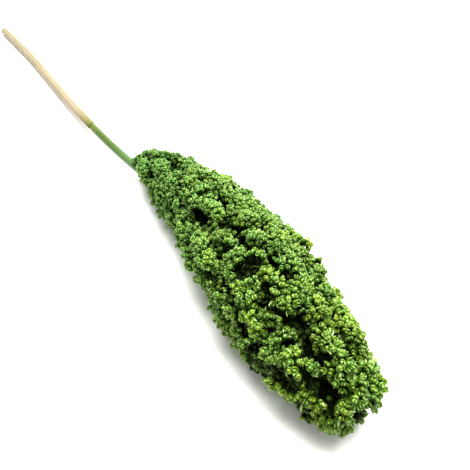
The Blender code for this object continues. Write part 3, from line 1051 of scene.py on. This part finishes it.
def copies_mesh(name, shape, pale, places):
    """One mesh with a copy of the shape at every place, marked with paleness, tone and depth."""
    shape_co = np.array([vert.co for vert in shape.data.vertices])
    count = len(places)
    size = len(shape_co)
    way = places[:, 3:6] / np.linalg.norm(places[:, 3:6], axis=1, keepdims=True)
    helper = np.where(np.abs(way[:, 2:3]) < NEARLY_UPRIGHT, (0.0, 0.0, 1.0), (1.0, 0.0, 0.0))
    across = np.cross(way, helper)
    across /= np.linalg.norm(across, axis=1, keepdims=True)
    upright = np.cross(way, across)
    roll = places[:, 6:7]
    first = np.cos(roll) * across + np.sin(roll) * upright
    second = np.cross(way, first)
    draw = np.random.default_rng(PLACE_SEED)
    uneven = draw.normal(0, SURFACE_VARIES, (count, size, 2))
    x = shape_co[None, :, 0] * places[:, 8:9] * (1 + uneven[:, :, 0])
    y = shape_co[None, :, 1] * places[:, 8:9] * SPIKELET_FLATNESS * (1 + uneven[:, :, 1])
    z = shape_co[None, :, 2] * places[:, 7:8]
    co = places[:, None, 0:3] + x[..., None] * first[:, None] + y[..., None] * second[:, None]
    co = co + z[..., None] * way[:, None]
    co[..., 2] = np.maximum(co[..., 2], LOWEST)
    loops = [list(face.vertices) for face in shape.data.polygons]
    corners = np.array([v for loop in loops for v in loop])
    totals = np.array([len(loop) for loop in loops])
    starts = np.concatenate(((0,), np.cumsum(totals)[:-1]))
    steps = np.arange(count)
    mesh = bpy.data.meshes.new(name)
    mesh.vertices.add(count * size)
    mesh.vertices.foreach_set("co", co.astype(np.float32).ravel())
    mesh.loops.add(count * len(corners))
    corners_of_all = (corners[None] + steps[:, None] * size).ravel()
    mesh.loops.foreach_set("vertex_index", corners_of_all.astype(np.int32))
    mesh.polygons.add(count * len(totals))
    starts_of_all = (starts[None] + steps[:, None] * len(corners)).ravel()
    mesh.polygons.foreach_set("loop_start", starts_of_all.astype(np.int32))
    mesh.update(calc_edges=True)
    marks = np.zeros((count, size, 4), np.float32)
    marks[..., 0] = np.array(pale)[None]
    marks[..., 1] = places[:, 9:10]
    marks[..., 2] = places[:, 10:11]
    marks[..., 3] = 1.0
    attribute = mesh.attributes.new("marks", "FLOAT_COLOR", "POINT")
    attribute.data.foreach_set("color", marks.ravel())
    piece = bpy.data.objects.new(name, mesh)
    bpy.context.scene.collection.objects.link(piece)
    return piece


def spikelet_material():
    material, tree, shader = plant_material("spikelet scales", SPIKELET_ROUGHNESS)
    shader.inputs["Specular IOR Level"].default_value = SPIKELET_SHINE
    shader.inputs["Sheen Weight"].default_value = SHEEN
    shader.inputs["Sheen Roughness"].default_value = SHEEN_ROUGHNESS
    shader.inputs["Sheen Tint"].default_value = SHEEN_TINT
    marks = add_node(tree, "ShaderNodeAttribute", attribute_name="marks")
    parts = add_node(tree, "ShaderNodeSeparateColor", {0: marks.outputs["Color"]})
    pale = parts.outputs[0]
    tone = parts.outputs[1]
    depth = parts.outputs[2]
    place = add_node(tree, "ShaderNodeTexCoord").outputs["Object"]
    mottle = add_node(
        tree, "ShaderNodeTexNoise", {"Vector": place, "Scale": MOTTLE_SCALE, "Detail": 2.0}
    )
    green = scale_between(tree, tone, *GREEN_SPAN)
    yellow = scale_between(tree, tone, *YELLOW_SPAN)
    mottled = scale_between(tree, mottle.outputs["Fac"], *MOTTLE_SPAN)
    body = blend_colours(tree, green, SPIKELET_BLUISH, SPIKELET_BODY)
    body = blend_colours(tree, yellow, body, SPIKELET_YELLOW)
    body = blend_colours(tree, mottled, body, SPIKELET_BODY)
    # The foot of each bud is painted near-black: painted shade in the hollows between the buds
    out_of_painted_shade = scale_between(tree, pale, *PAINTED_SHADE_SPAN)
    colour = blend_colours(tree, out_of_painted_shade, SPIKELET_PAINTED_SHADE, body)
    # Pale rim colour: the scales' real pale margins, made brighter as painted highlight in place of a
    # stronger gloss
    rim_and_highlight = blend_colours(tree, green, BLUISH_RIM_AND_HIGHLIGHT, SPIKELET_RIM_AND_HIGHLIGHT)
    colour = blend_colours(tree, scale_between(tree, pale, *RIM_AND_HIGHLIGHT_SPAN), colour, rim_and_highlight)
    # The depth mark darkens deep, filler, underside and sunk buds toward near-black: painted shade
    painted_shade = add_node(tree, "ShaderNodeMath", {0: depth, 1: DEPTH_SHADE}, operation="MULTIPLY")
    colour = blend_colours(tree, painted_shade.outputs[0], colour, SPIKELET_PAINTED_SHADE)
    tree.links.new(colour, shader.inputs["Base Color"])
    return material


bud, bud_pale = bud_shape("spikelet", BUD_RINGS, SPIKELET_SIDES)
open_bud, open_pale = bud_shape("open_spikelet", OPEN_RINGS, SPIKELET_SIDES)
deep_bud, deep_pale = bud_shape("deep_spikelet", DEEP_RINGS, DEEP_SIDES)
knobs = knob_places()
knobs.sort(key=lambda knob: knob[0][0])
spikelets, slivers = spikelet_places(knobs)
scales = spikelet_material()
hidden = spikelets[:, 10] > DEEP_FROM
opened = spikelets[:, 11].astype(bool) & ~hidden
closed = spikelets[~hidden & ~opened]
for part, rows in zip(("lower", "upper"), np.array_split(spikelets[hidden], 2)):
    piece = copies_mesh("spikelets_deep_" + part, deep_bud, deep_pale, rows)
    finish_piece(piece, scales, "seed_head")
piece = copies_mesh("spikelets_opening", open_bud, open_pale, spikelets[opened])
finish_piece(piece, scales, "seed_head")
for part, rows in zip(HEAD_PARTS, np.array_split(closed, len(HEAD_PARTS))):
    piece = copies_mesh("spikelets_" + part, bud, bud_pale, rows)
    finish_piece(piece, scales, "seed_head")
for shape in (bud, open_bud, deep_bud):
    bpy.data.objects.remove(shape)

# Sterile spikelets. Slim pale scales with no seed in them, which stand out between the buds of a knob.
# There are more and longer ones near the tip. They share the buds' papery green material, with its
# painted shade at the foot and its partly painted rim highlight.
SLIVER_RINGS = (
    (0.00, 0.40, 0.00, 0.40, 0.00, 0.00, 0.00),
    (0.35, 1.00, 0.30, 0.85, 0.00, 0.00, 0.00),
    (0.75, 0.75, 0.50, 1.00, 0.00, 0.00, 0.00),
    (1.00, 0.10, 0.20, 1.20, 0.00, 0.00, 0.00),
)
SLIVER_SIDES = 4

sliver, sliver_pale = bud_shape("sliver", SLIVER_RINGS, SLIVER_SIDES)
piece = copies_mesh("sterile_spikelets", sliver, sliver_pale, slivers)
finish_piece(piece, scales, "seed_head")
bpy.data.objects.remove(sliver)

# Knob stalks. Each knob sits on a thin green stalk of its own, which grows out of the branch in the
# middle of its finger. The stalks show only in the gaps between the knobs. Their blotches run from
# green to the branches' near-black painted shade.
STALK_RADIUS = 0.00036
STALK_RADII = (1.3 * STALK_RADIUS, STALK_RADIUS, STALK_RADIUS)
STALK_SIDES = 3
STALK_BEND = 0.0004
STALK_RISE = 0.001
STALK_ROUGHNESS = 0.6
STALK_GREEN = (0.120, 0.200, 0.050)


def stalks_piece(knobs):
    """Thin three-sided stalk from the middle of the branch to each knob."""
    verts = []
    faces = []
    for root, direction, middle, _ in knobs:
        bend = (middle + root) / 2 + STALK_BEND * direction
        line = [middle, bend, root + STALK_RISE * direction]
        tapered_tube(verts, faces, line, STALK_RADII, STALK_SIDES)
    return joined_mesh("knob_stalks", verts, faces)


stalk_green = blotchy_material("thin stalks", STALK_ROUGHNESS, BRANCH_SHADE_GREEN, STALK_GREEN)
finish_piece(stalks_piece(knobs), stalk_green, "seed_head")

# Floor, lights and camera. A white surface under soft even studio light, seen from above the tip.
# The light comes from one large lamp above the head's left side and from a white room all round.
FLOOR_SIZE = 12.0
FLOOR_ROUGHNESS = 0.7
FLOOR_WHITE = (0.93, 0.925, 0.91, 1.0)
LAMP_PLACE = (-0.10, 0.42, 1.35)
LAMP_TARGET = (0.20, 0.0, 0.0)
LAMP_SIZE = 1.5
LAMP_POWER = 56.0
ROOM_WHITE = (1.0, 1.0, 1.0, 1.0)
ROOM_STRENGTH = 0.55


def floor_piece():
    bpy.ops.object.select_all(action="DESELECT")
    bpy.ops.mesh.primitive_plane_add(size=FLOOR_SIZE)
    floor = bpy.context.object
    floor.name = "floor"
    material, tree, shader = plant_material("white table", FLOOR_ROUGHNESS)
    shader.inputs["Base Color"].default_value = FLOOR_WHITE
    floor.data.materials.append(material)


def studio_lamp():
    light = bpy.data.lights.new("key", "AREA")
    light.energy = LAMP_POWER
    light.size = LAMP_SIZE
    lamp = bpy.data.objects.new("key", light)
    bpy.context.scene.collection.objects.link(lamp)
    lamp.location = LAMP_PLACE
    ahead = Vector(LAMP_TARGET) - Vector(LAMP_PLACE)
    lamp.rotation_euler = ahead.to_track_quat("-Z", "Y").to_euler()


floor_piece()
studio_lamp()
world = bpy.data.worlds.new("studio")
bpy.context.scene.world = world
world.use_nodes = True
background = world.node_tree.nodes["Background"]
background.inputs["Color"].default_value = ROOM_WHITE
background.inputs["Strength"].default_value = ROOM_STRENGTH
bpy.context.scene.view_settings.view_transform = "Standard"
bpy.context.scene.view_settings.look = "High Contrast"
camera_data = bpy.data.cameras.new("camera")
camera_data.lens = CAMERA_LENS
camera_data.sensor_width = SENSOR_WIDTH
camera = bpy.data.objects.new("camera", camera_data)
camera.location = CAMERA_PLACE
camera.rotation_euler = CAMERA_TURN
bpy.context.scene.collection.objects.link(camera)
bpy.context.scene.camera = camera
